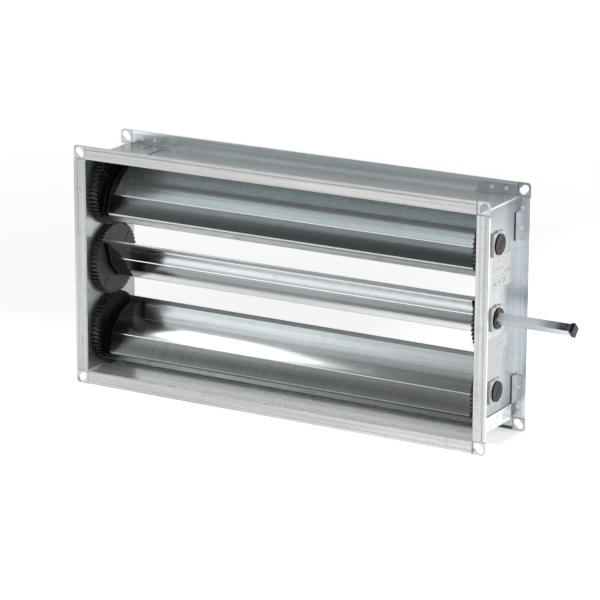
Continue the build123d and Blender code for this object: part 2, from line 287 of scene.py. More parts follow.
@cache
def scuff_group() -> Tree:
    """Handling marks: small dull spots and short scratches.

    Returns:
        The group's node tree.
    """
    graph, (place, amount) = shader_group("scuffs", ("Vector",), ("Amount",), ("Tone", "Dullness"))
    spots = graph.noise(place, 70.0, 2.0)
    scratch = graph.noise(graph.vector("MULTIPLY", place, (90.0, 900.0, 500.0)), 1.0, 2.0)
    both = graph.math("MAXIMUM", graph.span(spots, 0.6, 0.72), graph.span(scratch, 0.7, 0.78))
    marks = graph.product(both, amount)
    graph.node("NodeGroupOutput", {"Tone": graph.math("SUBTRACT", 1.0, marks), "Dullness": marks})
    return graph.tree


@cache
def dust_group() -> Tree:
    """Fine dust, thicker on faces that look up.

    Returns:
        The group's node tree.
    """
    graph, (place, normal, amount) = shader_group("dust", ("Vector", "Normal"), ("Amount",), ("Cover",))
    grain = graph.noise(place, 420.0, 3.0)
    drift = graph.noise(place, 30.0, 2.0)
    up = graph.node("SeparateXYZ", {0: normal}).outputs["Z"]
    facing = graph.span(up, -0.4, 1.0, least=0.25)
    graph.node("NodeGroupOutput", {"Cover": graph.product(grain, drift, facing, amount)})
    return graph.tree


@cache
def painted_band_group() -> Tree:
    """A band of painted shade or painted highlight along a fold, joint or end, a set distance out along one
    axis, as a mask.

    Returns:
        The group's node tree.
    """
    graph, (place, axis, distance, half_width, strength) = shader_group(
        "painted_band", ("Vector", "Axis"), ("Distance", "Half Width", "Strength"), ("Cover",)
    )
    reach = graph.math("ABSOLUTE", graph.vector("DOT_PRODUCT", place, axis, output="Value"))
    gap = graph.math("ABSOLUTE", graph.math("SUBTRACT", reach, distance))
    patchy = graph.span(graph.noise(place, 60.0, 3.0), 0.2, 1.0, least=0.5)
    cover = graph.product(graph.span(gap, half_width, 0.0), patchy, strength)
    graph.node("NodeGroupOutput", {"Cover": cover})
    return graph.tree


@cache
def stroke_group() -> Tree:
    """A stroke of ink between two places, as a tone that darkens the sheet under it.

    Returns:
        The group's node tree.
    """
    graph, (place, start, stop, half_width, strength) = shader_group(
        "ink_stroke", ("Vector", "Start", "Stop"), ("Half Width", "Strength"), ("Tone",)
    )
    run = graph.vector("SUBTRACT", stop, start)
    away = graph.vector("SUBTRACT", graph.vector("MULTIPLY", place, (0.0, 1.0, 1.0)), start)
    along = graph.vector("DOT_PRODUCT", away, run, output="Value")
    whole = graph.vector("DOT_PRODUCT", run, run, output="Value")
    share = graph.node("Math", {0: along, 1: whole}, operation="DIVIDE", use_clamp=True).outputs[0]
    gap = graph.vector("SUBTRACT", away, graph.vector("MULTIPLY", run, share))
    distance = graph.vector("LENGTH", gap, output="Value")
    cover = graph.span(distance, graph.product(half_width, 1.3), half_width)
    shade = graph.product(cover, strength)
    graph.node("NodeGroupOutput", {"Tone": graph.math("SUBTRACT", 1.0, shade)})
    return graph.tree


def dust_cover(graph: Graph, place: Socket, amount: float) -> Socket:
    """How much of a surface fine dust covers."""
    normal = graph.node("NewGeometry").outputs["Normal"]
    return graph.effect(dust_group, {"Vector": place, "Normal": normal, "Amount": amount})["Cover"]


def new_material(name: str) -> tuple[bpy.types.Material, Graph, Socket]:
    """Starts a node material.

    Args:
        name: the material's name.

    Returns:
        The material, its empty graph and the object coordinates in it.
    """
    material = bpy.data.materials.new(name)
    material.use_nodes = True
    graph = Graph(material.node_tree)
    return material, graph, graph.node("TexCoord").outputs["Object"]


def close_material(graph: Graph, sockets: dict) -> None:
    """Adds the Principled shader with these inputs, and the material output."""
    shader = graph.node("BsdfPrincipled", sockets)
    graph.node("OutputMaterial", {"Surface": shader.outputs[0]})


@dataclass(frozen=True)
class PaintedBand:
    """A band of painted shade or painted highlight, by its axis and its distance along it in millimetres."""

    axis: Point
    distance: float
    half_width: float = 0.8
    strength: float = 0.5
    colour: Colour = (0.0, 0.0, 0.0)


@dataclass(frozen=True)
class Steel:
    """Zinc-coated steel sheet, which can darken from its middle to right_shade_end on the right: painted
    shade.
    """

    name: str
    colour: Colour
    roughness: float
    grain: Grain = Grain.ALONG
    clouds: float = 0.22
    crystals: float = 0.04
    lines: float = 0.10
    streaks: float = 0.0
    stains: float = 0.0
    scuffs: float = 0.06
    relief: float = 0.03
    unevenness: float = 0.06
    metallic: float = 1.0
    right_shade: float = 0.0
    right_shade_end: float = 250.0
    painted_bands: tuple[PaintedBand, ...] = ()

    @cache
    def material(self) -> bpy.types.Material:
        """Builds the sheet's material, once.

        Returns:
            The material.
        """
        material, graph, place = new_material(self.name)
        zinc = graph.effect(zinc_group, {
            "Vector": place,
            "Grain Vector": graph.vector("MULTIPLY", place, self.grain.value),
            "Clouds": self.clouds, "Crystals": self.crystals, "Grain": self.lines, "Streaks": self.streaks,
        })
        scuff = graph.effect(scuff_group, {"Vector": place, "Amount": self.scuffs})
        tone = graph.product(zinc["Tone"], scuff["Tone"])
        if self.stains:
            stain = graph.effect(stain_group, {"Vector": place, "Amount": self.stains})
            tone = graph.product(tone, stain["Tone"])
        # Darker toward the right: painted shade.
        if self.right_shade:
            right = graph.node("SeparateXYZ", {0: place}).outputs["X"]
            painted_right_shade = graph.span(right, 0.0, self.right_shade_end * MM, self.right_shade)
            tone = graph.product(tone, graph.math("SUBTRACT", 1.0, painted_right_shade))
        colour = graph.tinted(self.colour, tone)
        # Each band mixes the colour toward its own: painted shade where dark, painted highlight where pale.
        for painted in self.painted_bands:
            line = graph.effect(painted_band_group, {
                "Vector": place, "Axis": painted.axis, "Strength": painted.strength,
                "Distance": painted.distance * MM, "Half Width": painted.half_width * MM,
            })
            colour = graph.mix(line["Cover"], colour, (*painted.colour, 1.0))
        gloss = graph.product(zinc["Gloss"], self.unevenness)
        bump = graph.node("Bump", {"Strength": self.relief, "Distance": 0.4 * MM, "Height": zinc["Height"]})
        close_material(graph, {
            "Base Color": colour,
            "Metallic": self.metallic,
            "Roughness": graph.total(gloss, self.roughness, scuff["Dullness"]),
            "Normal": bump.outputs[0],
        })
        return material


@dataclass(frozen=True)
class Moulded:
    """Injection-moulded plastic with a fine spark-eroded skin and a little dust."""

    name: str
    colour: Colour
    roughness: float
    dust: float = 0.25
    dust_colour: Colour = (0.35, 0.33, 0.32)
    relief: float = 0.25
    mottle: float = 0.15
    shine: float = 0.5

    @cache
    def material(self) -> bpy.types.Material:
        """Builds the plastic's material, once.

        Returns:
            The material.
        """
        material, graph, place = new_material(self.name)
        skin = graph.noise(place, 900.0, 3.0, 0.6)
        flow = graph.noise(place, 45.0, 3.0)
        dust = dust_cover(graph, place, self.dust)
        clean = graph.tinted(self.colour, graph.total(1.0, graph.swing(flow, self.mottle)))
        bump = graph.node("Bump", {"Strength": self.relief, "Distance": 0.1 * MM, "Height": skin})
        close_material(graph, {
            "Base Color": graph.mix(dust, clean, (*self.dust_colour, 1.0)),
            "Roughness": graph.total(self.roughness, graph.swing(flow, 0.15), graph.product(dust, 0.6)),
            "Specular IOR Level": self.shine,
            "Normal": bump.outputs[0],
        })
        return material


@dataclass(frozen=True)
class Ink:
    """One stroke or dot of ink, by its two ends as (depth, height) in millimetres."""

    start: Stretch
    stop: Stretch
    half_width: float
    strength: float


@dataclass(frozen=True)
class Printed:
    """Coated label stock with plain strokes and dots of ink."""

    name: str
    colour: Colour
    roughness: float = 0.45
    dust: float = 0.3
    marks: tuple[Ink, ...] = ()

    @cache
    def material(self) -> bpy.types.Material:
        """Builds the label's material, once.

        Returns:
            The material.
        """
        material, graph, place = new_material(self.name)
        fibre = graph.noise(place, 260.0, 4.0)
        tone = graph.total(1.0, graph.swing(fibre, 0.06))
        tone = graph.math("SUBTRACT", tone, dust_cover(graph, place, self.dust))
        for mark in self.marks:
            stroke = graph.effect(stroke_group, {
                "Vector": place,
                "Start": (0.0, mark.start[0] * MM, mark.start[1] * MM),
                "Stop": (0.0, mark.stop[0] * MM, mark.stop[1] * MM),
                "Half Width": mark.half_width * MM, "Strength": mark.strength,
            })
            tone = graph.product(tone, stroke["Tone"])
        bump = graph.node("Bump", {"Strength": 0.15, "Distance": 0.1 * MM, "Height": fibre})
        close_material(graph, {
            "Base Color": graph.tinted(self.colour, tone),
            "Roughness": graph.total(self.roughness, graph.swing(fibre, 0.2)),
            "Normal": bump.outputs[0],
        })
        return material


class Finishes:
    """Every finish on the damper."""

    # The webs are one zinc-coated sheet in lighter and darker copies: top_web for the top web's outside,
    # frame_sheet for its underside, bottom_web, side_web and side_web_left. The differences are painted
    # light and painted shade; the pale lines along the top web's folds are painted highlights.
    top_web = Steel(
        "top_web", (0.68, 0.73, 0.75), 0.26, clouds=0.1, lines=0.16, streaks=0.3, relief=0.01,
        painted_bands=(PaintedBand(ACROSS, 300.6, 1.6, 0.9, PAINTED_HIGHLIGHT), PaintedBand(DEEP, 58.8, 1.4, 0.9, PAINTED_HIGHLIGHT)),
    )
    frame_sheet = Steel(
        "frame_sheet", (0.53, 0.57, 0.58), 0.26, clouds=0.12, lines=0.15, streaks=0.25, relief=0.01
    )
    bottom_web = Steel(
        "bottom_web", (0.9, 0.93, 0.94), 0.26, clouds=0.15, lines=0.2, streaks=0.35, relief=0.01,
        metallic=0.6,
    )
    # The side web gets darker toward its top and bottom ends, a broad band of painted shade, with a pale
    # painted highlight along its top fold; side_web_left is a darker copy, painted shade.
    side_web = Steel(
        "side_web", (0.5, 0.535, 0.55), 0.28, Grain.UPRIGHT, clouds=0.12, lines=0.12, streaks=0.12,
        unevenness=0.02, relief=0.01,
        painted_bands=(PaintedBand(UP, 170.0, 75.0, 1.1, (0.1, 0.11, 0.115)), PaintedBand(UP, 150.6, 1.6, 1.2, PAINTED_HIGHLIGHT)),
    )
    side_web_left = replace(side_web, name="side_web_left", colour=(0.4, 0.42, 0.435))
    # The flanges are one sheet: the level, upright and left ones are lighter and darker copies, painted
    # light and painted shade, each with a dark line of painted shade along its hem.
    flange_level = Steel(
        "flange_level", (0.54, 0.545, 0.54), 0.28, clouds=0.15, lines=0.3, streaks=0.2,
        painted_bands=(PaintedBand(UP, 165.2, strength=0.6),),
    )
    flange_upright = replace(
        flange_level, name="flange_upright", colour=(0.57, 0.58, 0.58), grain=Grain.UPRIGHT,
        painted_bands=(PaintedBand(ACROSS, 313.8, strength=0.6),),
    )
    flange_left = replace(flange_upright, name="flange_left", colour=(0.49, 0.5, 0.5))
    # The flanges' inside faces: paler copies, painted light; flange_shaded, for the bottom channel's, is
    # nearly black, painted shade.
    flange_inside = Steel(
        "flange_inside", (0.76, 0.8, 0.81), 0.28, clouds=0.05, crystals=0.01, lines=0.2, streaks=0.25,
        unevenness=0.02,
    )
    flange_inner_side = replace(
        flange_inside, name="flange_inner_side", colour=(0.75, 0.78, 0.81), grain=Grain.UPRIGHT
    )
    flange_shaded = Steel("flange_shaded", (0.1, 0.095, 0.12), 0.34, clouds=0.1)
    rolled_rim = Steel("rolled_rim", (0.95, 0.96, 0.96), 0.3, clouds=0.1, lines=0.1)
    # Dark lines around the corner pressing's square and its outer edges: painted shadow lines.
    corner_sheet = Steel(
        "corner_sheet", (0.6, 0.62, 0.645), 0.32, clouds=0.25, crystals=0.1, scuffs=0.25, relief=0.06,
        painted_bands=(
            PaintedBand(UP, 152.2, 1.2, 0.95), PaintedBand(ACROSS, 300.8, 1.2, 0.95),
            PaintedBand(UP, 170.5, 1.1, 0.6), PaintedBand(ACROSS, 319.0, 1.1, 0.6),
        ),
    )
    # Pale colour on the bevels along the frame's edges: painted highlight. clinch_rim, a copy of it on the
    # clinch buttons' rims, is painted highlight too.
    painted_edge_highlight = Steel(
        "painted_edge_highlight", (0.9, 0.91, 0.91), 0.4, clouds=0.1, crystals=0.05, scuffs=0.05, metallic=0.35
    )
    # Near-black on the lap's edge and the corner angles' leg edges: painted shadow in the gap.
    painted_gap_shadow = Steel("painted_gap_shadow", (0.05, 0.055, 0.07), 0.5, clouds=0.3, crystals=0.05, scuffs=0.05)
    clinch_rim = replace(painted_edge_highlight, name="clinch_rim", colour=(0.9, 0.91, 0.92), roughness=0.28, metallic=0.6)
    # Each blade gets its own copy of the blade sheet, lighter or darker (blade_sheet, blade_bright,
    # blade_soft): painted light and painted shade. The lower blade's sheet also darkens toward the right,
    # painted shade.
    blade_sheet = Steel(
        "blade_sheet", (0.78, 0.825, 0.835), 0.13, clouds=0.06, crystals=0.02, lines=0.16, streaks=0.24,
        stains=0.06, scuffs=0.03, unevenness=0.02, right_shade=0.35,
    )
    blade_bright = replace(
        blade_sheet, name="blade_bright", colour=(0.94, 0.965, 0.97), clouds=0.04, lines=0.1,
        streaks=0.1, right_shade=0.0,
    )
    blade_soft = replace(
        blade_sheet, name="blade_soft", colour=(0.74, 0.785, 0.795), roughness=0.15, metallic=0.8, right_shade=0.0
    )
    # The lowest facets: blade_marked carries the lower blade's run-off stains; blade_shaded and blade_dark
    # are darker copies of it, painted shade, and lip_shaded is a darker copy of the lip, painted shade.
    blade_marked = Steel(
        "blade_marked", (0.76, 0.8, 0.815), 0.17, clouds=0.08, crystals=0.03, streaks=0.08,
        stains=0.5, scuffs=0.03, relief=0.02, unevenness=0.02,
    )
    blade_shaded = replace(blade_marked, name="blade_shaded", colour=(0.66, 0.68, 0.69), stains=0.2)
    blade_dark = replace(blade_marked, name="blade_dark", colour=(0.36, 0.38, 0.39), stains=0.4)
    blade_lip = Steel("blade_lip", (0.66, 0.68, 0.68), 0.3, clouds=0.1, lines=0.2)
    lip_shaded = replace(blade_lip, name="lip_shaded", colour=(0.3, 0.31, 0.31))
    # Near-black on the blades' crease bevels: painted shade that dims their highlight lines.
    blade_edge = Steel("blade_edge", (0.11, 0.115, 0.12), 0.36, clouds=0.1, scuffs=0.05)
    # The stop strips are near-black: painted shade, which the bottom web shows as a dark line below the
    # lower blade.
    strip_sheet = Steel("strip_sheet", (0.12, 0.125, 0.13), 0.34)
    shaft_zinc = Steel(
        "shaft_zinc", (0.84, 0.89, 0.9), 0.26, clouds=0.1, crystals=0.01, lines=0.08, streaks=0.1,
        scuffs=0.02, relief=0.01, metallic=0.35,
    )
    # The shaft's upper front face: a paler, less metallic copy, painted light, with a dark band near its
    # end, a painted reflection.
    shaft_dark = replace(
        shaft_zinc, name="shaft_dark", colour=(0.92, 0.97, 0.99), metallic=0.15,
        painted_bands=(PaintedBand(ACROSS, 403.0, 42.0, 1.5, (0.035, 0.028, 0.075)),),
    )
    gear_black = Moulded("gear_black", (0.0045, 0.0036, 0.0040), 0.3, dust=0.01, relief=0.1, shine=0.07)
    gear_rim = Moulded("gear_rim", (0.014, 0.012, 0.013), 0.27, dust=0.01, relief=0.05, shine=1.0)
    # gear_face, on the middle blade's left gear face only, is a paler copy of the black plastic: painted
    # light.
    gear_face = Moulded("gear_face", (0.055, 0.047, 0.050), 0.34, dust=0.04, relief=0.1, shine=0.2)
    journal_face = replace(gear_face, name="journal_face", colour=(0.024, 0.019, 0.021), dust=0.06)
    cap_black = Moulded("cap_black", (0.012, 0.010, 0.011), 0.36, dust=0.04, shine=0.25)
    bush_white = Moulded("bush_white", (0.86, 0.86, 0.85), 0.42, dust=0.06, dust_colour=(0.4, 0.4, 0.4))
    label_stock = Printed("label_stock", (0.88, 0.88, 0.89))
    label_upper = Printed("label_upper", (0.9, 0.9, 0.91), marks=(
        Ink((-6.0, 67.5), (-5.9, 67.5), 0.8, 0.6),
        Ink((2.0, 76.5), (8.0, 77.5), 0.9, 0.35),
        Ink((14.0, 78.0), (17.0, 79.0), 0.7, 0.4),
        Ink((0.0, 66.0), (18.0, 66.0), 0.5, 0.4),
    ))
    label_middle = Printed("label_middle", (0.9, 0.9, 0.91), marks=(
        Ink((-5.0, 46.5), (-4.9, 46.5), 1.3, 0.95),
        Ink((8.0, 47.0), (8.1, 47.0), 1.3, 0.95),
        Ink((18.0, 49.0), (22.5, 50.5), 0.5, 0.8),
        Ink((22.5, 50.5), (24.0, 47.0), 0.5, 0.8),
        Ink((24.0, 47.0), (20.0, 44.5), 0.5, 0.8),
    ))
    label_lower = Printed("label_lower", (0.88, 0.88, 0.9), marks=(
        Ink((4.0, -31.0), (14.0, -37.0), 1.0, 0.15),
        Ink((0.0, -38.0), (18.0, -38.0), 0.8, 0.15),
        Ink((10.0, -29.0), (24.0, -30.0), 0.8, 0.12),
    ))


def pick(obj: Piece) -> None:
    """Makes an object the only selected one, and active.

    Args:
        obj: the object.
    """
    for other in bpy.context.selected_objects:
        other.select_set(False)
    obj.select_set(True)
    bpy.context.view_layer.objects.active = obj


def refined(node: str, name: str) -> Piece:
    """A clean copy of a node's mesh: doubles merged, flat faces joined.

    Args:
        node: the node to copy.
        name: the new piece's name.

    Returns:
        The new object, at the origin.
    """
    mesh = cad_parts[node].data.copy()
    mesh.materials.clear()
    piece = bpy.data.objects.new(name, mesh)
    bpy.context.scene.collection.objects.link(piece)
    pick(piece)
    if mesh.has_custom_normals:
        bpy.ops.mesh.customdata_custom_splitnormals_clear()
    bpy.ops.object.mode_set(mode="EDIT")
    bpy.ops.mesh.select_all(action="SELECT")
    bpy.ops.mesh.remove_doubles(threshold=EXACT)
    bpy.ops.mesh.dissolve_limited(angle_limit=math.radians(FLAT_ANGLE))
    bpy.ops.object.mode_set(mode="OBJECT")
    return piece


def rounded(piece: Piece, width: float, segments: int, edge_slot: int = -1, angle: float = 50.0) -> None:
    """Bevels a piece's sharp edges and smooths its shading.

    Args:
        piece: the object.
        width: the bevel's width in millimetres.
        segments: how many faces the bevel has across.
        edge_slot: the material slot of the bevel's faces, or -1 for that of the faces beside it.
        angle: the smallest angle between faces that counts as an edge, in degrees.
    """
    pick(piece)
    bevel = piece.modifiers.new("edges", "BEVEL")
    bevel.width = width * MM
    bevel.segments = segments
    bevel.limit_method = "ANGLE"
    bevel.angle_limit = math.radians(angle)
    bevel.material = edge_slot
    bpy.ops.object.modifier_apply(modifier=bevel.name)
    bpy.ops.object.shade_smooth_by_angle(angle=math.radians(SMOOTH_ANGLE))
    settled = piece.modifiers.new("normals", "WEIGHTED_NORMAL")
    settled.keep_sharp = True
    bpy.ops.object.modifier_apply(modifier=settled.name)


def select_parts(piece: Piece, kind: str, test: Callable) -> None:
    """Selects a mesh's parts in edit mode, by their place or normal.

    Args:
        piece: the object, left in edit mode.
        kind: VERT, EDGE or FACE.
        test: takes a corner's place, an edge's two places, or a face, and says whether it is wanted.
    """
    pick(piece)
    bpy.ops.object.mode_set(mode="EDIT")
    bpy.ops.mesh.select_mode(type=kind)
    bpy.ops.mesh.select_all(action="DESELECT")
    bpy.ops.object.mode_set(mode="OBJECT")
    corners = piece.data.vertices
    if kind == "VERT":
        for corner in corners:
            corner.select = test(corner.co)
    elif kind == "EDGE":
        for edge in piece.data.edges:
            edge.select = test(*(corners[number].co for number in edge.vertices))
    else:
        for face in piece.data.polygons:
            face.select = test(face)
    bpy.ops.object.mode_set(mode="EDIT")


def give_finish(piece: Piece, number: int, test: Callable) -> None:
    """Puts the faces that pass a test in another of the piece's material slots.

    Args:
        piece: the object.
        number: the slot's number.
        test: takes a face, and says whether it changes.
    """
    while len(piece.data.materials) <= number:
        piece.data.materials.append(None)
    select_parts(piece, "FACE", test)
    piece.active_material_index = number
    bpy.ops.object.material_slot_assign()
    bpy.ops.object.mode_set(mode="OBJECT")


def put_back(piece: Piece, body: Body, finishes: tuple, node: str) -> None:
    """Gives a finished piece its materials and its body, and hides the node that it stands for.

    Args:
        piece: the object.
        body: the body that it moves with.
        finishes: its finishes, in the order of its material slots.
        node: the node that it replaces.
    """
    while len(piece.data.materials) < len(finishes):
        piece.data.materials.append(None)
    for number, finish in enumerate(finishes):
        piece.data.materials[number] = finish.material()
    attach(piece, body.value)
    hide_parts(node)
    log.info("%s: %d faces on %s", piece.name, len(piece.data.polygons), body.value)


@dataclass
class DuctFrame:
    """The four channels, the eight corner angles and the two stop strips."""

    channel_edge: float = 0.22
    angle_edge: float = 0.25
    strip_edge: float = 0.2
    flange_height: float = 19.0
    lap_height: float = 20.0
    rim_radius: float = 0.9
    hem_step: float = 0.7
    inner_share: float = 0.9
    shortest_rim: float = 10.0
    hem_depth: float = 50.0
    button_low: float = 1.55
    button_high: float = 2.4

    def build(self) -> None:
        """Builds and dresses every piece of the frame."""
        for word in ("top", "bottom", "left", "right"):
            self.channel(word)
        for face in ("front", "back"):
            for end in ("top", "bottom"):
                for side in ("left", "right"):
                    self.corner_angle(f"{face}_{end}_{side}")
        for end in ("top", "bottom"):
            self.stop_strip(end)

    def channel(self, word: str) -> None:
        """A frame channel with softened folds, rolled rims and pale edges, a painted highlight.

        Args:
            word: which side of the frame it is.
        """
        node = f"frame_{word}_channel"
        web, flange, inside = {
            "top": (Finishes.frame_sheet, Finishes.flange_level, Finishes.flange_inside),
            "bottom": (Finishes.bottom_web, Finishes.flange_level, Finishes.flange_shaded),
            "left": (Finishes.side_web_left, Finishes.flange_left, Finishes.flange_inner_side),
            "right": (Finishes.side_web, Finishes.flange_upright, Finishes.flange_inner_side),
        }[word]
        piece = refined(node, f"{word}_channel_sheet")
        side_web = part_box("frame_right_channel")[1][0] - self.flange_height * MM
        bottom_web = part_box("frame_bottom_channel")[0][2] + self.flange_height * MM
        lap_edge = bottom_web + self.lap_height * MM
        # The lap's edge on the right web gets the painted gap shadow.
        give_finish(
            piece, 2, lambda face: face.center.x > side_web and abs(face.center.z - lap_edge) < HAIR
        )
        self.round_rims(piece, word)
        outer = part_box(node)[1][1] - self.hem_step * MM
        inner = self.inner_share * outer
        # The flanges' outer and inside faces and the top web's outside get their own lighter or darker
        # copies: painted light and painted shade.
        give_finish(piece, 4, lambda face: abs(face.normal.y) > FACING and abs(face.center.y) > outer)
        give_finish(
            piece, 5, lambda face: abs(face.normal.y) > FACING and inner < abs(face.center.y) < outer
        )
        give_finish(piece, 6, lambda face: face.normal.z > FACING and face.center.z > -bottom_web - HAIR)
        give_finish(piece, 7, lambda face: word == "top" and abs(face.normal.x) > FACING)
        rounded(piece, self.channel_edge, 2, edge_slot=1)
        finishes = (
            web, Finishes.painted_edge_highlight, Finishes.painted_gap_shadow, Finishes.rolled_rim,
            flange, inside, Finishes.top_web, Finishes.side_web,
        )
        put_back(piece, Body.FRAME, finishes, node)

    def round_rims(self, piece: Piece, word: str) -> None:
        """Rolls the outer edges of a channel's two hemmed flanges.

        Args:
            piece: the channel.
            word: which side of the frame it is.
        """
        axis = 2 if word in ("top", "bottom") else 0
        rim = max(abs(corner.co[axis]) for corner in piece.data.vertices)

        def on_rim(a: Vector, b: Vector) -> bool:
            """Whether an edge runs along the rim."""
            at_rim = min(abs(a[axis]), abs(b[axis])) > rim - EXACT
            return at_rim and (a - b).length > self.shortest_rim * MM and abs(a.y - b.y) < EXACT

        select_parts(piece, "EDGE", on_rim)
        bpy.ops.mesh.bevel(offset=self.rim_radius * MM, segments=3, affect="EDGES")
        bpy.ops.object.mode_set(mode="OBJECT")
        fold = rim - self.rim_radius * MM
        hem = self.hem_depth * MM
        give_finish(piece, 3, lambda face: abs(face.center[axis]) > fold and abs(face.center.y) > hem)

    def corner_angle(self, words: str) -> None:
        """A pressed corner angle.

        Args:
            words: its face, end and side of the frame.
        """
        node = f"corner_angle_{words}"
        piece = refined(node, f"{words}_corner_pressing")
        low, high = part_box(node)
        outer = max(abs(low[1]), abs(high[1]))
        leg_edge = min(abs(low[1]), abs(high[1]))
        web = abs(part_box("frame_right_channel")[1][0]) - self.flange_height * MM
        # The legs' edges get the painted gap shadow, and the clinch buttons' rims the painted highlight.
        give_finish(
            piece, 2, lambda face: abs(abs(face.center.y) - leg_edge) < HAIR and abs(face.center.x) > web
        )
        give_finish(
            piece, 3, lambda face: self.button_low * MM < outer - abs(face.center.y) < self.button_high * MM
        )
        rounded(piece, self.angle_edge, 2, edge_slot=1)
        finishes = (Finishes.corner_sheet, Finishes.painted_edge_highlight, Finishes.painted_gap_shadow, Finishes.clinch_rim)
        put_back(piece, Body.FRAME, finishes, node)

    def stop_strip(self, end: str) -> None:
        """A stop strip's folded angle.

        Args:
            end: top or bottom.
        """
        node = f"stop_strip_{end}"
        piece = refined(node, f"{end}_stop_angle")
        rounded(piece, self.strip_edge, 2)
        put_back(piece, Body.FRAME, (Finishes.strip_sheet,), node)


@dataclass
class Bearings:
    """The six plastic bushes in the side webs."""

    edge: float = 0.45

    def build(self) -> None:
        """Builds and dresses every bush."""
        for blade in ("upper", "middle", "lower"):
            for side in ("left", "right"):
                node = f"bearing_bush_{blade}_{side}"
                piece = refined(node, f"{blade}_{side}_bush_moulding")
                rounded(piece, self.edge, 3)
                put_back(piece, Body.FRAME, (Finishes.bush_white,), node)


@dataclass
class Blade:
    """One hollow blade: two folded skins and two gear ends."""

    word: str
    body: Body
    crease: float = 0.22
    crease_angle: float = 32.0
    gear_edge: float = 0.3
    gear_zone: Stretch = (286.0, 295.0)
    tooth_height: float = 4.0
    facet_width: float = 20.0
    bow: float = 0.45
    bow_rows: int = 5
    lip_width: Stretch = (1.5, 8.0)
    lip_slant: float = 0.02
    end_slant: float = 0.01

    def build(self) -> None:
        """Builds and dresses the blade's four pieces."""
        for half in ("front", "back"):
            self.skin(half)
        for side in ("left", "right"):
            self.gear_end(side)

    def wheel(self) -> Stretch:
        """The height of the blade's axis, and the radius at the foot of its gears' teeth, in metres."""
        low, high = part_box(f"gear_end_{self.word}_left")
        return (low[2] + high[2]) / 2, (high[2] - low[2]) / 2 - self.tooth_height * MM

    def gear_end(self, side: str) -> None:
        """A gear with its journal and shoe.

        Args:
            side: left or right.
        """
        node = f"gear_end_{self.word}_{side}"
        piece = refined(node, f"{self.word}_{side}_gear_moulding")
        axis_height, root = self.wheel()
        outer = max(abs(corner[0]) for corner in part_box(node))
        near, far = (place * MM for place in self.gear_zone)
        give_finish(
            piece, 1, lambda face: abs(face.normal.x) < SIDEWAYS
            and math.hypot(face.center.y, face.center.z - axis_height) > root
        )
        # The middle gear's left face gets the paler copy, painted light.
        give_finish(
            piece, 2, lambda face: self.body is Body.MIDDLE and face.normal.x > FACING
            and -far < face.center.x < -near
        )
        give_finish(piece, 3, lambda face: abs(face.center.x) > outer - HAIR / 2)
        rounded(piece, self.gear_edge, 2, edge_slot=1)
        finishes = (Finishes.gear_black, Finishes.gear_rim, Finishes.gear_face, Finishes.journal_face)
        put_back(piece, self.body, finishes, node)

    def skin(self, half: str) -> None:
        """One folded skin, its three outer facets slightly bowed.

        Args:
            half: front or back.
        """
        node = f"blade_{self.word}_{half}_skin"
        piece = refined(node, f"{self.word}_{half}_blade_sheet")
        facets = self.outer_facets(piece)
        give_finish(piece, 3, lambda face: self.is_lip(piece, face))
        for facet in facets:
            self.bow_facet(piece, facet)
        # The lowest facet gets a darker copy, painted shade; on the lower blade it also carries run-off
        # stains.
        lowest = min(facets, key=lambda facet: facet[0].z + facet[1].z)
        give_finish(piece, 2, lambda face: self.lies_on(face, lowest))
        rounded(piece, self.crease, 2, edge_slot=1, angle=self.crease_angle)
        # Each blade gets its own lighter or darker copy of the sheet and lip: painted light and painted
        # shade.
        main, low_facet, lip = {
            Body.UPPER: (Finishes.blade_soft, Finishes.blade_dark, Finishes.blade_lip),
            Body.MIDDLE: (Finishes.blade_bright, Finishes.blade_shaded, Finishes.blade_lip),
            Body.LOWER: (Finishes.blade_sheet, Finishes.blade_marked, Finishes.lip_shaded),
        }[self.body]
        put_back(piece, self.body, (main, Finishes.blade_edge, low_facet, lip), node)

    def outer_facets(self, piece: Piece) -> list[Facet]:
        """The skin's wide outer facets.

        Args:
            piece: the skin.

        Returns:
            For each facet its lower and upper edge, as places in the section, and its outward normal.
        """
        axis_height = self.wheel()[0]
        facets = []
        for face in piece.data.polygons:
            places = [piece.data.vertices[number].co for number in face.vertices]
            section = sorted((Vector((0.0, p.y, p.z)) for p in places), key=lambda p: (p.z, p.y))
            wide = (section[-1] - section[0]).length > self.facet_width * MM
            level = abs(face.normal.x) < self.end_slant
            out = face.normal.dot(Vector((0.0, face.center.y, face.center.z - axis_height))) > 0.0
            if wide and level and out:
                facets.append((section[0], section[-1], face.normal.copy()))
        return facets

    def bow_facet(self, piece: Piece, facet: Facet) -> None:
        """Cuts a facet into rows along its length and moves them out to a shallow arch.

        Args:
            piece: the skin.
            facet: one of its outer facets.
        """
        low, high, outward = facet

        def across(a: Vector, b: Vector) -> bool:
            """Whether an edge runs across the facet."""
            ends = sorted((Vector((0.0, a.y, a.z)), Vector((0.0, b.y, b.z))), key=lambda p: (p.z, p.y))
            return (ends[0] - low).length < EXACT and (ends[1] - high).length < EXACT

        select_parts(piece, "EDGE", across)
        bpy.ops.mesh.subdivide(number_cuts=self.bow_rows)
        bpy.ops.object.mode_set(mode="OBJECT")
        for row in range(1, self.bow_rows + 1):
            share = row / (self.bow_rows + 1)
            place = low.lerp(high, share)
            rise = self.bow * MM * 4.0 * share * (1.0 - share)
            select_parts(
                piece, "VERT", lambda p, q=place: abs(p.y - q.y) < EXACT and abs(p.z - q.z) < EXACT
            )
            bpy.ops.transform.translate(value=outward * rise)
            bpy.ops.object.mode_set(mode="OBJECT")

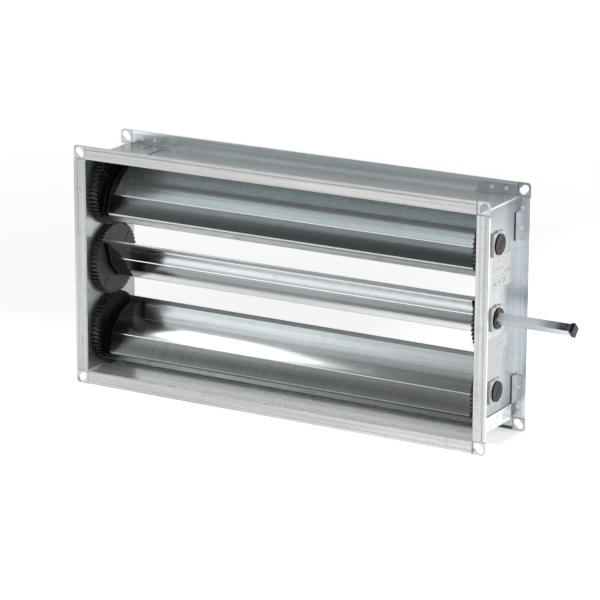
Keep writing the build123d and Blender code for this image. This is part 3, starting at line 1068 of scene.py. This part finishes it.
    def is_lip(self, piece: Piece, face: bpy.types.MeshPolygon) -> bool:
        """Whether a face belongs to one of the narrow lips that hook the skins together.

        Args:
            piece: the skin.
            face: one of its faces.

        Returns:
            True for a long, narrow face at 45 degrees.
        """
        places = [piece.data.vertices[number].co for number in face.vertices]
        long = max(p.x for p in places) - min(p.x for p in places) > self.facet_width * MM
        section = [Vector((0.0, p.y, p.z)) for p in places]
        width = max((a - b).length for a in section for b in section)
        slanted = abs(abs(face.normal.y) - abs(face.normal.z)) < self.lip_slant
        return long and slanted and self.lip_width[0] * MM < width < self.lip_width[1] * MM

    def lies_on(self, face: bpy.types.MeshPolygon, facet: Facet) -> bool:
        """Whether a face is a row of a facet.

        Args:
            face: the face.
            facet: one of the outer facets.

        Returns:
            True for a row of that facet.
        """
        low, high, outward = facet
        offset = Vector((0.0, face.center.y, face.center.z)) - (low + high) / 2
        beside = abs(offset.dot(outward)) < 2.0 * self.bow * MM
        return beside and offset.length < (high - low).length / 2 and face.normal.dot(outward) > FACING


@dataclass
class Drive:
    """The square drive shaft and its end cap."""

    shaft_edge: float = 0.25
    cap_edge: float = 0.6

    def build(self) -> None:
        """Builds and dresses the shaft and the cap."""
        shaft = refined("drive_shaft", "square_shaft_bar")
        rounded(shaft, self.shaft_edge, 2)
        # The upper front faces get the paler copy with the painted reflection near the end.
        give_finish(shaft, 1, lambda face: face.normal.y < -SIDEWAYS and face.normal.z > SIDEWAYS)
        finishes = (Finishes.shaft_zinc, Finishes.shaft_dark)
        put_back(shaft, Body.MIDDLE, finishes, "drive_shaft")
        cap = refined("shaft_end_cap", "shaft_cap_moulding")
        rounded(cap, self.cap_edge, 4)
        put_back(cap, Body.MIDDLE, (Finishes.cap_black,), "shaft_end_cap")


@dataclass
class Labels:
    """The bare labels on the drive side."""

    edge: float = 0.05

    def build(self) -> None:
        """Builds and dresses the four labels."""
        finishes = {
            "upper": Finishes.label_upper, "middle": Finishes.label_middle,
            "lower": Finishes.label_lower, "strip": Finishes.label_stock,
        }
        for word, finish in finishes.items():
            node = f"label_{word}"
            piece = refined(node, f"{word}_label_sheet")
            rounded(piece, self.edge, 1)
            put_back(piece, Body.FRAME, (finish,), node)


@dataclass
class Studio:
    """Pale floor, soft lamps, white surroundings and the camera of the photograph.

    A glow says where it begins, where it is full and how strong it is. The steps of the paper behind the
    damper and of the room in front of it are heights, from 0 below to 1 overhead, and greys.
    """

    camera_place: Point = (1.9701, -3.4174, 1.1015)
    focal_pixels: float = 3025.4
    yaw: float = 29.887
    pitch: float = 15.864
    roll: float = 0.257
    floor_reach: float = 14.0
    floor_colour: Colour = (0.86, 0.86, 0.86)
    floor_glow: float = 0.50
    right_glow: Point = (-0.1, 0.5, 0.52)
    far_glow: Point = (0.8, 3.0, 0.25)
    near_glow: Point = (0.75, 0.2, 0.4)
    near_place: Point = (-0.5, -0.5, 0.0)
    shade_ends: Stretch = (0.295, 0.330)
    shade_sides: Stretch = (0.028, 0.045)
    shade_depth: float = 0.03
    shade_left: float = 0.45
    behind: Stretch = (-0.15, 0.35)
    halo_way: Point = (-0.548, -0.428, 0.719)
    halo_glow: Point = (0.994, 1.0, 0.35)
    paper_steps: tuple[Stretch, ...] = (
        (0.0, 0.95), (0.52, 0.95), (0.58, 0.60), (0.66, 0.58), (0.74, 0.45), (1.0, 0.4),
    )
    room_steps: tuple[Stretch, ...] = (
        (0.0, 0.8), (0.48, 0.9), (0.51, 0.65), (0.57, 0.45), (0.78, 0.45), (0.805, 0.20),
        (0.835, 0.08), (0.868, 0.08), (0.90, 0.22), (1.0, 0.3),
    )

    def build(self) -> None:
        """Builds the whole studio."""
        self.floor()
        self.world()
        self.softbox("ceiling_box", (-1.69, -0.70, 2.28), (0.0, 0.0, -0.1), (0.98, 0.35), 2.8)
        self.softbox("front_fill", (0.6, -3.4, 2.2), (0.0, 0.0, 0.0), (1.8, 1.4), 26.0)
        self.softbox("right_fill", (3.0, 0.6, 1.2), (0.3, 0.0, 0.0), (3.0, 3.0), 34.0)
        self.camera()

    def camera(self) -> None:
        """Places the camera as it was fitted to the photograph."""
        yaw, pitch, roll = (math.radians(a) for a in (self.yaw, self.pitch, self.roll))
        right = Vector((math.cos(yaw), math.sin(yaw), 0.0))
        level = math.cos(pitch)
        ahead = Vector((-math.sin(yaw) * level, math.cos(yaw) * level, -math.sin(pitch)))
        up = right.cross(ahead)
        across = math.cos(roll) * right + math.sin(roll) * up
        upward = math.cos(roll) * up - math.sin(roll) * right
        turn = Matrix((across, upward, -ahead)).transposed().to_4x4()
        data = bpy.data.cameras.new("photo_camera")
        data.sensor_width = SENSOR_WIDTH
        data.lens = self.focal_pixels * SENSOR_WIDTH / PHOTO_SIDE
        data.clip_end = 60.0
        camera = bpy.data.objects.new("photo_camera", data)
        camera.matrix_world = Matrix.Translation(self.camera_place) @ turn
        bpy.context.scene.collection.objects.link(camera)
        bpy.context.scene.camera = camera

    def softbox(self, name: str, place: Point, target: Point, size: Stretch, power: float) -> None:
        """Adds a soft rectangular lamp.

        Args:
            name: the lamp's name.
            place: where it stands, in metres.
            target: the point that it faces.
            size: its width and height.
            power: its power in watts.
        """
        data = bpy.data.lights.new(name, "AREA")
        data.shape = "RECTANGLE"
        data.size, data.size_y = size
        data.energy = power
        lamp = bpy.data.objects.new(name, data)
        lamp.location = place
        lamp.rotation_euler = (Vector(target) - Vector(place)).to_track_quat("-Z", "Y").to_euler()
        lamp.visible_camera = False
        bpy.context.scene.collection.objects.link(lamp)

    def floor(self) -> None:
        """Adds the pale floor that the damper stands on, white to the eye and in a mirror."""
        bpy.ops.mesh.primitive_plane_add(size=self.floor_reach, location=(0.0, 0.0, CAD_BOX[0].z))
        floor = bpy.context.object
        pick(floor)
        bpy.ops.object.transform_apply(location=True, rotation=True, scale=True)
        floor.name = "floor"
        material, graph, place = new_material("pale_floor")
        tone = graph.total(1.0, graph.swing(graph.noise(place, 3.0, 2.0), 0.01))
        matt = graph.node("BsdfDiffuse", {"Color": graph.tinted(self.floor_colour, tone)})
        spread = graph.node("SeparateXYZ", {0: place}).outputs
        away = graph.vector("LENGTH", place, output="Value")
        beside = graph.vector("DISTANCE", place, self.near_place, output="Value")
        # The glow is stronger to the right, far off and near the front: painted light that the metal
        # reflects.
        glow = graph.total(
            graph.span(spread["X"], *self.right_glow),
            self.floor_glow,
            graph.span(away, *self.far_glow),
            graph.span(beside, *self.near_glow),
        )
        # Under the damper the glow is dimmed: a painted shadow.
        deep = graph.math("ABSOLUTE", graph.math("SUBTRACT", spread["Y"], self.shade_depth))
        past_end = graph.span(graph.math("ABSOLUTE", spread["X"]), *self.shade_ends)
        past_side = graph.span(deep, *self.shade_sides)
        open_floor = graph.math("MAXIMUM", past_end, past_side)
        glow = graph.product(glow, graph.math("MAXIMUM", open_floor, self.shade_left))
        shine = graph.node("Emission", {"Color": WHITE, "Strength": glow})
        lit = graph.node("AddShader", {0: matt.outputs[0], 1: shine.outputs[0]})
        path = graph.node("LightPath").outputs
        seen = graph.total(path["Is Camera Ray"], path["Is Glossy Ray"], path["Is Transmission Ray"])
        seen = graph.math("MINIMUM", seen, 1.0)
        shown = graph.node("MixShader", {0: seen, 1: matt.outputs[0], 2: lit.outputs[0]})
        graph.node("OutputMaterial", {"Surface": shown.outputs[0]})
        floor.data.materials.append(material)

    def world(self) -> None:
        """Surrounds the damper with pale paper behind it and a dimmer room in front of it."""
        world = bpy.data.worlds.new("studio")
        bpy.context.scene.world = world
        world.use_nodes = True
        graph = Graph(world.node_tree)
        sky = graph.node("TexCoord").outputs["Generated"]
        way = graph.node("SeparateXYZ", {0: sky}).outputs
        height = graph.span(way["Z"], -1.0, 1.0)
        halo = graph.span(graph.vector("DOT_PRODUCT", sky, self.halo_way, output="Value"), *self.halo_glow)
        room = graph.total(graph.ramp(height, self.room_steps), halo)
        paper = graph.ramp(height, self.paper_steps)
        around = graph.mix(graph.span(way["Y"], *self.behind), room, paper)
        path = graph.node("LightPath").outputs
        seen = graph.math("MINIMUM", graph.total(path["Is Camera Ray"], path["Is Transmission Ray"]), 1.0)
        light = graph.node("Background", {"Color": graph.mix(seen, around, WHITE), "Strength": 1.0})
        graph.node("OutputWorld", {"Surface": light.outputs[0]})


def write_size() -> None:
    """Brings the scene up to date."""
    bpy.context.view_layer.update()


def main() -> None:
    """Builds the damper's looks and the studio."""
    logging.basicConfig(level=logging.INFO, format="%(name)s: %(message)s")
    DuctFrame().build()
    Bearings().build()
    for word, body in (("upper", Body.UPPER), ("middle", Body.MIDDLE), ("lower", Body.LOWER)):
        Blade(word, body).build()
    Drive().build()
    Labels().build()
    Studio().build()
    bpy.context.scene.view_settings.view_transform = "Standard"
    write_size()


if __name__ == "__main__":
    main()
